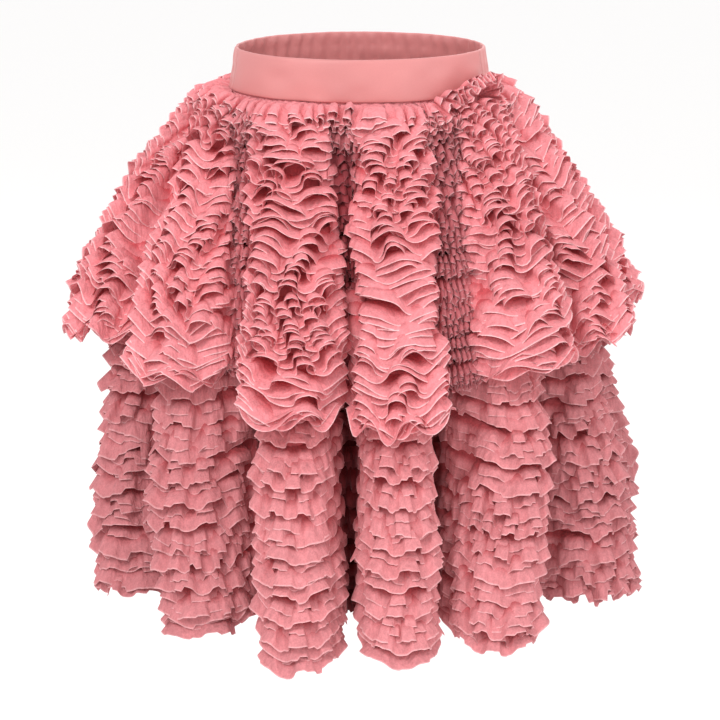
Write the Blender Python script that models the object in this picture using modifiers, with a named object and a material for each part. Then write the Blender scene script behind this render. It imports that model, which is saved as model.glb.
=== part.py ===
"""Two-tier tulle skirt, hollow as worn: a short ruffled overskirt over a longer ruffled underskirt.

Metres, +Z up.  The origin is the middle of the waist, halfway up the waistband, where the wearer
holds the skirt up.  The front faces -Y.  Angles are degrees round the body: 0 is the centre front
and +90 is +X.  Each skirt is a gathered cloth panel, front and back, that hangs in deep round
flutes.  The tulle strips are sewn on it in rows that follow the flutes.
"""

import math
from collections import namedtuple

import bmesh
import bpy
from mathutils import Vector

# Waistband
BAND_HEIGHT = 0.040
BAND_WALL = 0.003
BAND_TOP_HALF_WIDTH = 0.1195
BAND_BASE_HALF_WIDTH = 0.1255
WAIST_DEPTH_SHARE = 0.755  # depth of the waist from front to back, as a share of its width
BAND_SEAM_LEFT = -78.0
BAND_SEAM_RIGHT = 75.0
BAND_FRONT_FACETS = 18
ELASTIC_GATHERS = 26
ELASTIC_GATHER_DEPTH = 0.0022

# Cloth and seams
PANEL_WALL = 0.0012
SEAM_GAP = 0.0003
WAIST_Z = -BAND_HEIGHT / 2 - SEAM_GAP

# Where the underskirt hangs inside the overskirt: how far inside, how soon below the waist (and
# below the share where its strips need room) that is reached, and its slope out past the hem
SKIRTS_APART = 0.010
APART_WITHIN_SHARE = 0.25
STRIPS_NEED_ROOM_FROM = 0.62
SPLAY_BELOW_HEM = 0.2

# Ruffle strips: how far the gathered strip stands off its panel at its stitches, and where the
# inside of its waves lies, as a share of its reach
STRIP_STANDOFF = 0.0012
STRIP_INSIDE_SHARE = 0.66
SHORT_REACH_STRIPS = 3  # the reach grows over this many strips at the top of each skirt

# A flute's section: share of its half pitch, share of its depth, share of a strip's reach there
FluteColumn = namedtuple("FluteColumn", "across rise reach_share")
FLUTE_COLUMNS = (
    FluteColumn(-0.74, 0.68, 0.50),
    FluteColumn(-0.36, 0.96, 1.00),
    FluteColumn(0.36, 0.96, 1.00),
    FluteColumn(0.74, 0.68, 0.50),
    FluteColumn(1.00, 0.00, 0.80),  # the valley, shared with the next flute
)

# Where each flute's crest hangs, how far it stands out beside its neighbours and how its hems lift
Flute = namedtuple("Flute", "waist over_hem under_hem stand_out over_lift under_lift")
FLUTES = (
    Flute(-98.0, -75.0, -72.0, 0.000, 0.002, 0.024),
    Flute(-73.0, -50.0, -41.5, 0.000, 0.000, 0.013),
    Flute(-40.0, -18.0, -15.0, 0.004, 0.000, -0.005),
    Flute(20.0, 10.0, 10.0, 0.000, -0.002, 0.004),
    Flute(58.0, 45.0, 34.0, 0.002, 0.020, 0.006),
    Flute(87.0, 67.0, 68.0, -0.002, 0.004, 0.024),
    Flute(108.0, 102.0, 108.0, 0.000, 0.000, 0.004),
    Flute(129.0, 124.0, 130.0, 0.003, 0.004, 0.010),
    Flute(151.0, 149.0, 153.0, -0.002, -0.004, 0.002),
    Flute(174.0, 176.0, 178.0, 0.004, 0.002, 0.008),
    Flute(197.0, 204.0, 205.0, 0.000, -0.003, 0.000),
    Flute(219.0, 232.0, 231.0, 0.003, 0.003, 0.009),
    Flute(241.0, 259.0, 257.0, -0.002, 0.000, 0.006),
)
CREST_SWING = 1.5  # how soon the crests swing over below the waist
FRONT_FLUTES = 6  # the first six; the side seams lie in the valleys at either end of them

# Each skirt at its hem, as its bare panel measures there.  cloth_rows are the panel's rings, as
# shares of the way to the hem.
Tier = namedtuple(
    "Tier",
    "name hem_left hem_right hem_front hem_back front_z side_z left_swell right_swell "
    "waist_inset waist_flute hem_flute valley_lift cloth_rows first_ruffle ruffles reach top_reach "
    "drop",
)
OVERSKIRT = Tier(
    name="overskirt",
    hem_left=0.277,
    hem_right=0.267,
    hem_front=0.223,
    hem_back=0.227,
    front_z=-0.303,
    side_z=-0.243,
    left_swell=1.25,
    right_swell=1.22,
    waist_inset=0.0,
    waist_flute=0.003,
    hem_flute=0.058,
    valley_lift=0.014,
    cloth_rows=(0.0, 1 / 9, 3 / 9, 5 / 9, 7 / 9, 1.0),
    first_ruffle=0.0,
    ruffles=9,
    reach=0.0258,
    top_reach=0.0203,
    drop=1.28,
)
UNDERSKIRT = Tier(
    name="underskirt",
    hem_left=0.256,
    hem_right=0.281,
    hem_front=0.227,
    hem_back=0.232,
    front_z=-0.533,
    side_z=-0.533,
    left_swell=2.3,
    right_swell=1.6,
    waist_inset=PANEL_WALL + SEAM_GAP,
    waist_flute=0.003,
    hem_flute=0.076,
    valley_lift=0.024,
    cloth_rows=(0.0, 0.23, 0.46, 0.537, 0.614, 0.769, 0.923, 1.0),
    first_ruffle=0.46,
    ruffles=7,
    reach=0.0184,
    top_reach=0.0110,
    drop=1.21,
)

PINK_CREPE = ("crepe", (0.83, 0.32, 0.33), 0.55)
PINK_TULLE = ("tulle", (0.74, 0.22, 0.26), 0.80)


def blend(start, end, share):
    """The value that lies this share of the way from start to end."""
    return start + (end - start) * share


def smooth_step(value):
    """Runs from 0 to 1 with a level start and end."""
    held = min(1.0, max(0.0, value))
    return held * held * (3.0 - 2.0 * held)


def ellipse_radius(half_width, half_depth, angle):
    """How far an ellipse lies from its centre in this direction round the body."""
    return 1.0 / math.hypot(math.sin(angle) / half_width, math.cos(angle) / half_depth)


def around(radius, angle, height):
    """The point this far out from the body's axis."""
    return Vector((radius * math.sin(angle), -radius * math.cos(angle), height))


def clear_scene():
    for old in list(bpy.data.objects):
        bpy.data.objects.remove(old)


def new_material(name, colour, roughness):
    material = bpy.data.materials.new(name)
    material.use_nodes = True
    shader = material.node_tree.nodes["Principled BSDF"]
    shader.inputs["Base Color"].default_value = (*colour, 1.0)
    shader.inputs["Roughness"].default_value = roughness
    shader.inputs["Metallic"].default_value = 0.0
    return material


def add_object(name, mesh, material, collection):
    made = bpy.data.objects.new(name, mesh)
    made.data.materials.append(material)
    collection.objects.link(made)
    return made


def bulges(corners):
    """Whether a twisted four-cornered facet stands proud when it is split from its first corner to
    its third."""
    first, second, third, fourth = (corner.co for corner in corners)
    facing = (third - first).cross(fourth - second)
    return (first + third - second - fourth).dot(facing) > 0.0


def loft(name, rings, closed, capped):
    """A mesh through rings of equal length.  closed joins each ring's ends to each other, and capped
    joins the last ring back to the first, so that the rings are the corners of one section.  Each
    facet is split along its hollow diagonal, so that it stays clear of whatever lies over it, and
    the face that closes a section is split as the first one, so that the two never cross."""
    shape = bmesh.new()
    corners = [[shape.verts.new(point) for point in ring] for ring in rings]
    pairs = list(zip(corners, corners[1:]))
    if capped:
        pairs.append((corners[-1], corners[0]))
    count = len(corners[0])
    for upper, lower in pairs:
        for here in range(count if closed else count - 1):
            there = (here + 1) % count
            facet = (upper[here], lower[here], lower[there], upper[there])
            turned = bulges(facet)
            if capped and lower is corners[0]:  # the face that closes the section
                first = (lower[here], corners[1][here], corners[1][there], lower[there])
                turned = not bulges(first)
            if turned:
                facet = facet[1:] + facet[:1]
            shape.faces.new(facet[:3])
            shape.faces.new((facet[0], facet[2], facet[3]))
    if capped and not closed:
        shape.faces.new([ring[0] for ring in reversed(corners)])
        shape.faces.new([ring[-1] for ring in corners])
    mesh = bpy.data.meshes.new(name)
    shape.to_mesh(mesh)
    shape.free()
    return mesh


def flute_angle(flute, height):
    """A crest's direction at this height, in radians: it swings over from the waist to the hems."""
    down = min(1.0, max(0.0, (WAIST_Z - height) / (WAIST_Z - OVERSKIRT.side_z)))
    over = blend(flute.waist, flute.over_hem, 1.0 - (1.0 - down) ** CREST_SWING)
    share = smooth_step((height - OVERSKIRT.front_z) / (UNDERSKIRT.front_z - OVERSKIRT.front_z))
    return math.radians(blend(over, flute.under_hem, share))


def column_angle(number, column, height):
    """The direction of one column of a flute at this height, in radians."""
    step = 1 if column.across > 0.0 else -1
    own = flute_angle(FLUTES[number % len(FLUTES)], height)
    turn = flute_angle(FLUTES[(number + step) % len(FLUTES)], height) - own
    turn = step * ((step * turn) % (2.0 * math.pi))
    return own + abs(column.across) * turn / 2.0


def crest_radius(tier, angle, share):
    """How far a flute's crest stands from the body's axis, at this share of the skirt's length."""
    hem_width = tier.hem_right if math.sin(angle) > 0.0 else tier.hem_left
    hem_depth = tier.hem_front if math.cos(angle) > 0.0 else tier.hem_back
    swell = blend(tier.left_swell, tier.right_swell, 0.5 + 0.5 * math.sin(angle))
    grown = 1.0 - (1.0 - share) ** swell
    waist_width = BAND_BASE_HALF_WIDTH + PANEL_WALL - tier.waist_inset
    waist_depth = BAND_BASE_HALF_WIDTH * WAIST_DEPTH_SHARE + PANEL_WALL - tier.waist_inset
    return ellipse_radius(
        blend(waist_width, hem_width, grown), blend(waist_depth, hem_depth, grown), angle
    )


def hem_height(tier, angle, lift, rise):
    """The hem hangs lower at the front and back than at the sides."""
    level = blend(tier.front_z, tier.side_z, math.sin(angle) ** 2)
    return level + lift * rise + tier.valley_lift * (1.0 - rise)


def cloth_radius(tier, number, column, angle, share):
    """How far the bare panel lies from the body's axis on one column of a flute."""
    begun = smooth_step(share)
    depth = blend(tier.waist_flute, tier.hem_flute, begun)
    flute = FLUTES[number % len(FLUTES)]
    stand_out = flute.stand_out * column.rise * begun
    return crest_radius(tier, angle, share) + stand_out - depth * (1.0 - column.rise)


def room_inside_overskirt(number, column, angle, height):
    """The furthest that the underskirt can stand out where the overskirt hangs over it."""
    lift = FLUTES[number % len(FLUTES)].over_lift
    share = (WAIST_Z - height) / (WAIST_Z - hem_height(OVERSKIRT, angle, lift, column.rise))
    parted = smooth_step(share / APART_WITHIN_SHARE)
    ruffled = smooth_step((share - STRIPS_NEED_ROOM_FROM) / APART_WITHIN_SHARE)
    apart = blend(PANEL_WALL + SEAM_GAP, SKIRTS_APART, parted) + UNDERSKIRT.reach * ruffled
    over = cloth_radius(OVERSKIRT, number, column, angle, min(1.0, share))
    return over - apart + SPLAY_BELOW_HEM * max(0.0, share - 1.0)


def panel_point(tier, number, column, share):
    """A point of the bare panel: on this column of this flute, this share of the way to the hem."""
    flute = FLUTES[number % len(FLUTES)]
    lift = flute.over_lift if tier is OVERSKIRT else flute.under_lift
    hem_angle = column_angle(number, column, blend(tier.front_z, tier.side_z, 0.5))
    height = blend(WAIST_Z, hem_height(tier, hem_angle, lift, column.rise), share)
    angle = column_angle(number, column, height)
    radius = cloth_radius(tier, number, column, angle, share)
    if tier is UNDERSKIRT:
        radius = min(radius, room_inside_overskirt(number, column, angle, height))
    return around(radius, angle, height)


def flute_columns():
    """Every column round the skirt, as (flute number, column), from the left side seam."""
    return [(number, column) for number in range(len(FLUTES)) for column in FLUTE_COLUMNS]


def panel_rings(tier):
    """The bare panel's rings from waist to hem, each with a point for every column."""
    return [[panel_point(tier, *at, share) for at in flute_columns()] for share in tier.cloth_rows]


def on_panel(tier, rings, share, at):
    """The point of the faceted panel at this share of the way down one of its columns."""
    rows = tier.cloth_rows
    row = max(row for row in range(len(rows) - 1) if rows[row] <= max(share, 0.0))
    part = (share - rows[row]) / (rows[row + 1] - rows[row])
    return rings[row][at].lerp(rings[row + 1][at], part)


def outward(tier, rings, share, at):
    """The level direction that points away from the panel on one column.  In a valley it points
    straight out of the valley."""
    count = len(rings[0])
    here = on_panel(tier, rings, share, at)
    if flute_columns()[at][1].rise == 0.0:
        return Vector((here.x, here.y, 0.0)).normalized()
    along = on_panel(tier, rings, share, (at + 1) % count) - on_panel(tier, rings, share, at - 1)
    return Vector((along.y, -along.x, 0.0)).normalized()


def panel_piece(tier, side, rings, first, last, material, collection):
    """One cloth panel between two side seams: an open lofted sheet given its wall by Solidify."""
    count = len(rings[0])
    cut = [[ring[at % count] for at in range(first, last + 1)] for ring in rings]
    for ring in cut:
        ring[0] = ring[0].lerp(ring[1], SEAM_GAP / 2 / (ring[1] - ring[0]).length)
        ring[-1] = ring[-1].lerp(ring[-2], SEAM_GAP / 2 / (ring[-2] - ring[-1]).length)
    name = f"{tier.name}_{side}"
    piece = add_object(name, loft(name, cut, closed=False, capped=False), material, collection)
    wall = piece.modifiers.new("wall", "SOLIDIFY")
    wall.thickness = PANEL_WALL
    wall.offset = -1.0
    wall.use_even_offset = True
    wall.use_quality_normals = True
    return piece


def panels(tier, rings, material, collection):
    """Front and back panels, whose side seams lie in the valleys beside the front flutes."""
    per_flute = len(FLUTE_COLUMNS)
    left_seam = -1  # the valley before the first flute
    right_seam = FRONT_FLUTES * per_flute - 1
    all_round = len(FLUTES) * per_flute
    panel_piece(tier, "front", rings, left_seam, right_seam, material, collection)
    panel_piece(tier, "back", rings, right_seam, left_seam + all_round, material, collection)


def ruffle_strip(tier, number, rings, material, collection):
    """One gathered strip, sewn along its top edge and standing off its panel at its free edge."""
    spacing = (1.0 - tier.first_ruffle) / tier.ruffles
    sewn_at = tier.first_ruffle + spacing * number
    free_at = min(1.0, sewn_at + spacing * tier.drop)
    sewn, outer, inner = [], [], []
    full_reach = blend(tier.top_reach, tier.reach, min(1.0, number / SHORT_REACH_STRIPS))
    for at, (_, column) in enumerate(flute_columns()):
        reach = full_reach * column.reach_share
        out_free = outward(tier, rings, free_at, at)
        free = on_panel(tier, rings, free_at, at)
        stitches = on_panel(tier, rings, sewn_at, at)
        sewn.append(stitches + outward(tier, rings, sewn_at, at) * STRIP_STANDOFF)
        outer.append(free + out_free * reach)
        inner.append(free + out_free * reach * STRIP_INSIDE_SHARE)
    if sewn_at == 0.0:
        sewn = [Vector((point.x, point.y, WAIST_Z - STRIP_STANDOFF)) for point in sewn]
    name = f"{tier.name}_ruffle_{number + 1}"
    mesh = loft(name, [sewn, outer, inner], closed=True, capped=True)
    return add_object(name, mesh, material, collection)


def band_section(angle, gather):
    """The four corners of the waistband's wall in one direction, from the top outside."""
    half = BAND_WALL / 2
    corners = []
    for side, height in ((1, 1), (1, -1), (-1, -1), (-1, 1)):
        width = BAND_TOP_HALF_WIDTH if height > 0 else BAND_BASE_HALF_WIDTH
        radius = ellipse_radius(width, width * WAIST_DEPTH_SHARE, angle)
        out = radius + side * half + gather
        corners.append(around(out, angle, height * BAND_HEIGHT / 2))
    return corners


def band_piece(name, start, end, facets, gather_depth, material, collection):
    """A stretch of waistband between two seams.  Gathers ripple every other facet inwards."""
    gap = math.degrees(SEAM_GAP / 2 / BAND_BASE_HALF_WIDTH)
    sections = []
    for facet in range(facets + 1):
        angle = math.radians(blend(start + gap, end - gap, facet / facets))
        gather = -gather_depth if facet % 2 else 0.0
        sections.append(band_section(angle, gather))
    rings = [list(corner) for corner in zip(*sections)]
    mesh = loft(name, rings, closed=False, capped=True)
    return add_object(name, mesh, material, collection)


def main():
    clear_scene()
    skirt = bpy.data.collections.new("tulle_skirt")
    bpy.context.scene.collection.children.link(skirt)
    crepe = new_material(*PINK_CREPE)
    tulle = new_material(*PINK_TULLE)
    band_piece(
        "waistband_front", BAND_SEAM_LEFT, BAND_SEAM_RIGHT, BAND_FRONT_FACETS, 0.0, crepe, skirt
    )
    band_piece(
        "waistband_back",
        BAND_SEAM_RIGHT,
        BAND_SEAM_LEFT + 360.0,
        2 * ELASTIC_GATHERS,
        ELASTIC_GATHER_DEPTH,
        crepe,
        skirt,
    )
    for tier in (OVERSKIRT, UNDERSKIRT):
        rings = panel_rings(tier)
        panels(tier, rings, tulle, skirt)
        for number in range(tier.ruffles):
            ruffle_strip(tier, number, rings, tulle, skirt)


main()
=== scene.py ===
"""Looks of the two-tier tulle skirt: gathered tulle strips, crepe waistband and a plain studio.

Metres, +Z up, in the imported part's frame.  The origin is the middle of the waist, halfway up the
waistband, and the front faces -Y.  A place round the skirt is counted in flutes: a whole number is
a flute's crest and a half is the slit between two flutes.  A share runs down a skirt from 0 at the
waist to 1 at its hem.
"""

from __future__ import annotations

import logging
import math
from dataclasses import dataclass, field, fields, replace
from enum import Enum
from typing import Sequence, Union

import bmesh
import bpy
import numpy as np
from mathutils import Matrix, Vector

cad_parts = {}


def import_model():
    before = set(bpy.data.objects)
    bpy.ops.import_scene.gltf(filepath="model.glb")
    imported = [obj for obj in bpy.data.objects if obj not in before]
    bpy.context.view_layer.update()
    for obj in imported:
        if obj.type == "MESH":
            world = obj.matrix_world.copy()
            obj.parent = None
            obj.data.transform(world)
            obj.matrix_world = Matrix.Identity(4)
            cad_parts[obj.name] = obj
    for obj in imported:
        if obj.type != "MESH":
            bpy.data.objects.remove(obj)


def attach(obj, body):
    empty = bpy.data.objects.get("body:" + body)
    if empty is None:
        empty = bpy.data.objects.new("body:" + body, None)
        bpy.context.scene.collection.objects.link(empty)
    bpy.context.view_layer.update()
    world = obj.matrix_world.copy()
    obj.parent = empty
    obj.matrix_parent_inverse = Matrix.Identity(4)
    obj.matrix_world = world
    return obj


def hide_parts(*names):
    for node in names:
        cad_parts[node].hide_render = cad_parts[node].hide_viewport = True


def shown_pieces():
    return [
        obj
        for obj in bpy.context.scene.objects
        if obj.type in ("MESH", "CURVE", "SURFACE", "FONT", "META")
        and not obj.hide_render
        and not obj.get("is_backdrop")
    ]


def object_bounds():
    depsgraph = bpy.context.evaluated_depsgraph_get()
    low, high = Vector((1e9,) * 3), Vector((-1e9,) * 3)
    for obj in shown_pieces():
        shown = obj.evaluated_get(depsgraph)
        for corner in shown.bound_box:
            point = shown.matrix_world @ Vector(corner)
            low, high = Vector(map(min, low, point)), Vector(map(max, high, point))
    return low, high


LOG = logging.getLogger("tulle_skirt")
TURN = 2.0 * math.pi
Amount = Union[float, np.ndarray]
Socket = bpy.types.NodeSocket

# Small helpers


def blend(start: Amount, end: Amount, share: Amount) -> Amount:
    """The value or array that lies this share of the way from start to end."""
    return start + (end - start) * share


def smooth_step(value: Amount) -> Amount:
    """Runs from 0 to 1 with a level start and end."""
    held = np.clip(value, 0.0, 1.0)
    return held * held * (3.0 - 2.0 * held)


def unit(rows: np.ndarray) -> np.ndarray:
    """Each row scaled to length 1."""
    return rows / np.maximum(np.linalg.norm(rows, axis=-1, keepdims=True), 1e-12)


def arc_length(line: np.ndarray) -> np.ndarray:
    """How far along the line each of its points lies."""
    steps = np.linalg.norm(np.diff(line, axis=0), axis=1)
    return np.concatenate([[0.0], np.cumsum(steps)])


def around(radius: np.ndarray, angle: np.ndarray, height: np.ndarray) -> np.ndarray:
    """The points this far out from the body's axis."""
    return np.stack([radius * np.sin(angle), -radius * np.cos(angle), height], axis=-1)


def ellipse_radius(half_width: Amount, half_depth: Amount, angle: np.ndarray) -> np.ndarray:
    """How far an ellipse lies from its centre in each direction round the body."""
    return 1.0 / np.hypot(np.sin(angle) / half_width, np.cos(angle) / half_depth)


@dataclass(frozen=True)
class Drift:
    """Smooth random values from -1 to 1 over the skirt, the same on each run.

    Each lattice point holds one number, and the values ease from one to the next.  per_flute
    and per_row say how many lattice points there are to a flute and to a row of ruffles.
    """

    seed: int
    per_flute: float
    per_row: float
    rows: int = 64

    def at(self, place: np.ndarray, row: Amount = 0.0) -> np.ndarray:
        """Reads the values.

        Args:
            place: where round the skirt, in flutes.
            row: how far down, in rows of ruffles.

        Returns:
            One value for each place.
        """
        columns = max(2, round(len(FLUTES) * self.per_flute))
        lattice = np.random.default_rng(self.seed).uniform(-1.0, 1.0, (self.rows, columns))
        across = np.asarray(place, float) / len(FLUTES) * columns
        down = np.broadcast_to(np.asarray(row, float) * self.per_row, across.shape)
        left = np.floor(across).astype(int)
        top = np.floor(down).astype(int)
        ease_x = smooth_step(across - left)
        ease_y = smooth_step(down - top)
        found = []
        for step in (0, 1):
            line = (top + step) % self.rows
            here = lattice[line, left % columns]
            there = lattice[line, (left + 1) % columns]
            found.append(blend(here, there, ease_x))
        return blend(found[0], found[1], ease_y)


# The skirt's form, in the part's own sizes


@dataclass(frozen=True)
class Flute:
    """Where one flute's crest hangs, in degrees round the body, and how it stands out and lifts."""

    waist: float
    over_hem: float
    under_hem: float
    stand_out: float
    over_lift: float
    under_lift: float
    curled: float = 0.5


FLUTES: tuple[Flute, ...] = (
    Flute(-98.0, -75.0, -72.0, 0.000, 0.002, 0.024, 0.45),
    Flute(-73.0, -50.0, -41.5, 0.000, 0.000, 0.013, 0.40),
    Flute(-40.0, -18.0, -15.0, 0.004, 0.000, -0.005, 0.65),
    Flute(20.0, 10.0, 10.0, 0.000, -0.002, 0.004, 0.15),
    Flute(58.0, 45.0, 34.0, 0.002, 0.020, 0.006, 0.50),
    Flute(87.0, 67.0, 68.0, -0.002, 0.004, 0.024, 0.42),
    Flute(108.0, 102.0, 108.0, 0.000, 0.000, 0.004),
    Flute(129.0, 124.0, 130.0, 0.003, 0.004, 0.010),
    Flute(151.0, 149.0, 153.0, -0.002, -0.004, 0.002),
    Flute(174.0, 176.0, 178.0, 0.004, 0.002, 0.008),
    Flute(197.0, 204.0, 205.0, 0.000, -0.003, 0.000),
    Flute(219.0, 232.0, 231.0, 0.003, 0.003, 0.009),
    Flute(241.0, 259.0, 257.0, -0.002, 0.000, 0.006),
)
LEFT_SEAM = -0.5  # the slit before the first flute
RIGHT_SEAM = 5.5  # the slit after the sixth flute


@dataclass(frozen=True)
class Tier:
    """One skirt as its bare panel hangs, with the rows of strips sewn on it.

    The hems are how far the crests stand out there, and the swells how soon they do.  The waist
    and hem flutes are the slits' depth.  flute_share is how much of each flute its round takes,
    the rest being slit, and hang_to how far down the panel the ruffles may hang.
    """

    name: str
    hem_left: float
    hem_right: float
    hem_front: float
    hem_back: float
    front_z: float
    side_z: float
    left_swell: float
    right_swell: float
    waist_inset: float
    waist_flute: float
    hem_flute: float
    valley_lift: float
    first_ruffle: float
    strips: int
    flute_share: float
    hang_to: float


CLOTH_WALL = 0.0012
SEAM_GAP = 0.0003
SKIRTS_APART = 0.010
UNDER_REACH = 0.0184
BAND_HEIGHT = 0.040
WAIST_Z = -BAND_HEIGHT / 2 - SEAM_GAP

OVERSKIRT = Tier(
    name="overskirt",
    hem_left=0.277,
    hem_right=0.267,
    hem_front=0.223,
    hem_back=0.227,
    front_z=-0.303,
    side_z=-0.243,
    left_swell=1.25,
    right_swell=1.22,
    waist_inset=0.0,
    waist_flute=0.003,
    hem_flute=0.058,
    valley_lift=0.014,
    first_ruffle=0.0,
    strips=9,
    flute_share=0.69,
    hang_to=0.985,
)
UNDERSKIRT = Tier(
    name="underskirt",
    hem_left=0.256,
    hem_right=0.281,
    hem_front=0.227,
    hem_back=0.232,
    front_z=-0.533,
    side_z=-0.533,
    left_swell=2.3,
    right_swell=1.6,
    waist_inset=CLOTH_WALL + SEAM_GAP,
    waist_flute=0.003,
    hem_flute=0.076,
    valley_lift=0.024,
    first_ruffle=0.46,
    strips=7,
    flute_share=0.58,
    hang_to=0.988,
)


@dataclass(frozen=True)
class SkirtForm:
    """The smooth bare cloth of both skirts, which the strips are sewn on."""

    band_base_half_width: float = 0.1255
    waist_depth_share: float = 0.755
    crest_swing: float = 1.5
    crest_power: float = 2.1
    wall_power: float = 0.62
    ruffled_from: float = 0.62
    ruffled_rate: float = 4.0
    splay: float = 0.2
    side_turn: float = 4.0
    apart_rate: float = 4.0
    depth_power: float = 0.75
    # the slits that are wider than the others and how much so, and what that does to their form
    wide_slits: tuple[tuple[float, float], ...] = ((1.5, 0.6), (3.5, 1.0))
    widened: float = 0.30
    shallower: float = 0.50

    def wide_slit(self, tier: Tier, place: np.ndarray) -> np.ndarray:
        """Finds the slits that are wider than the others.

        Args:
            tier: which skirt.
            place: where round it, in flutes.

        Returns:
            1 in the middle of a wide slit, and 0 in the others and on the crests.
        """
        if tier is UNDERSKIRT:
            return np.zeros(np.shape(place))
        turn = np.mod(place, len(FLUTES))
        return sum(wide * smooth_step(1.0 - 2.0 * np.abs(turn - at)) for at, wide in self.wide_slits)

    def across(self, tier: Tier, place: np.ndarray) -> np.ndarray:
        """0 on a flute's crest and 1 where its round ends in the slit."""
        round_share = tier.flute_share * (1.0 - self.widened * self.wide_slit(tier, place))
        return 2.0 * np.abs(place - np.round(place)) / round_share

    def rise(self, tier: Tier, place: np.ndarray) -> np.ndarray:
        """1 on a flute's crest and 0 in the slit between two flutes."""
        across = np.clip(self.across(tier, place), 0.0, 1.0)
        return (1.0 - across**self.crest_power) ** self.wall_power

    def of_flute(self, name: str, place: np.ndarray) -> np.ndarray:
        """A flute's own number at each place, from the flute whose crest is nearest."""
        values = np.array([getattr(flute, name) for flute in FLUTES])
        return values[np.round(place).astype(int) % len(FLUTES)]

    def crest_angle(self, number: np.ndarray, height: np.ndarray) -> np.ndarray:
        """Finds a crest, which swings over on its way down.

        Args:
            number: which crests, counted round the skirt.
            height: metres above the middle of the waist.

        Returns:
            The crests' directions in degrees.
        """
        turns = 360.0 * (number // len(FLUTES))
        index = number % len(FLUTES)
        waist, over, under = (
            np.array([getattr(flute, name) for flute in FLUTES])[index]
            for name in ("waist", "over_hem", "under_hem")
        )
        down = np.clip((WAIST_Z - height) / (WAIST_Z - OVERSKIRT.side_z), 0.0, 1.0)
        upper = blend(waist, over, 1.0 - (1.0 - down) ** self.crest_swing)
        deep = UNDERSKIRT.front_z - OVERSKIRT.front_z
        return turns + blend(upper, under, smooth_step((height - OVERSKIRT.front_z) / deep))

    def angle(self, place: np.ndarray, height: np.ndarray) -> np.ndarray:
        """Turns places round the skirt into directions round the body.

        Args:
            place: where round it, in flutes.
            height: metres above the middle of the waist.

        Returns:
            The directions in radians.
        """
        before = np.floor(place).astype(int)
        here = self.crest_angle(before, height)
        there = self.crest_angle(before + 1, height)
        return np.radians(blend(here, there, place - before))

    def crest_radius(self, tier: Tier, angle: np.ndarray, share: np.ndarray) -> np.ndarray:
        """Works out how far out a flute's crest stands.

        Args:
            tier: which skirt.
            angle: directions round the body, in radians.
            share: how far down it, from 0 at the waist to 1 at the hem.

        Returns:
            Metres from the body's axis.
        """
        side = smooth_step(0.5 + self.side_turn * np.sin(angle))
        front = smooth_step(0.5 + self.side_turn * np.cos(angle))
        hem_width = blend(tier.hem_left, tier.hem_right, side)
        hem_depth = blend(tier.hem_back, tier.hem_front, front)
        swell = blend(tier.left_swell, tier.right_swell, 0.5 + 0.5 * np.sin(angle))
        grown = 1.0 - (1.0 - np.clip(share, 0.0, 1.0)) ** swell
        waist_width = self.band_base_half_width + CLOTH_WALL - tier.waist_inset
        waist_depth = self.band_base_half_width * self.waist_depth_share
        waist_depth += CLOTH_WALL - tier.waist_inset
        return ellipse_radius(
            blend(waist_width, hem_width, grown), blend(waist_depth, hem_depth, grown), angle
        )

    def hem_height(self, tier: Tier, angle: np.ndarray, place: np.ndarray) -> np.ndarray:
        """Finds the hem, which hangs lower at the front and back than at the sides.

        Args:
            tier: which skirt.
            angle: directions round the body, in radians.
            place: where round it, in flutes.

        Returns:
            The hem's height at each place.
        """
        rise = self.rise(tier, place)
        lift = self.of_flute("over_lift" if tier is OVERSKIRT else "under_lift", place)
        level = blend(tier.front_z, tier.side_z, np.sin(angle) ** 2)
        return level + lift * rise + tier.valley_lift * (1.0 - rise)

    def cloth_radius(
        self, tier: Tier, place: np.ndarray, angle: np.ndarray, share: np.ndarray
    ) -> np.ndarray:
        """Works out how far out the bare panel lies.

        Args:
            tier: which skirt.
            place: where round it, in flutes.
            angle: directions round the body, in radians.
            share: how far down it, from 0 at the waist to 1 at the hem.

        Returns:
            Metres from the body's axis.
        """
        rise = self.rise(tier, place)
        begun = smooth_step(np.clip(share, 0.0, 1.0) ** self.depth_power)
        depth = blend(tier.waist_flute, tier.hem_flute, begun)
        depth = depth * (1.0 - self.shallower * self.wide_slit(tier, place))
        stand_out = self.of_flute("stand_out", place) * rise * begun
        return self.crest_radius(tier, angle, share) + stand_out - depth * (1.0 - rise)

    def room_inside_overskirt(
        self, place: np.ndarray, angle: np.ndarray, height: np.ndarray
    ) -> np.ndarray:
        """Works out how far out the underskirt can stand inside the overskirt.

        Args:
            place: where round it, in flutes.
            angle: directions round the body, in radians.
            height: metres above the middle of the waist.

        Returns:
            Metres from the body's axis.
        """
        hem = self.hem_height(OVERSKIRT, angle, place)
        share = (WAIST_Z - height) / (WAIST_Z - hem)
        apart = blend(CLOTH_WALL + SEAM_GAP, SKIRTS_APART, smooth_step(self.apart_rate * share))
        ruffled = smooth_step(self.ruffled_rate * (share - self.ruffled_from))
        over = self.cloth_radius(OVERSKIRT, place, angle, np.minimum(1.0, share))
        beyond = np.maximum(0.0, share - 1.0)
        return over - apart - UNDER_REACH * ruffled + self.splay * beyond

    def point(self, tier: Tier, place: np.ndarray, share: np.ndarray) -> np.ndarray:
        """Points of the bare panel.

        Args:
            tier: which skirt.
            place: where round it, in flutes.
            share: how far down, from 0 at the waist to 1 at the hem.

        Returns:
            One row of x, y, z for each place.
        """
        place = np.asarray(place, float)
        share = np.broadcast_to(np.asarray(share, float), place.shape)
        middle = np.full(place.shape, blend(tier.front_z, tier.side_z, 0.5))
        hem = self.hem_height(tier, self.angle(place, middle), place)
        height = blend(WAIST_Z, hem, share)
        angle = self.angle(place, height)
        radius = self.cloth_radius(tier, place, angle, share)
        if tier is UNDERSKIRT:
            radius = np.minimum(radius, self.room_inside_overskirt(place, angle, height))
        return around(radius, angle, height)

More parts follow.
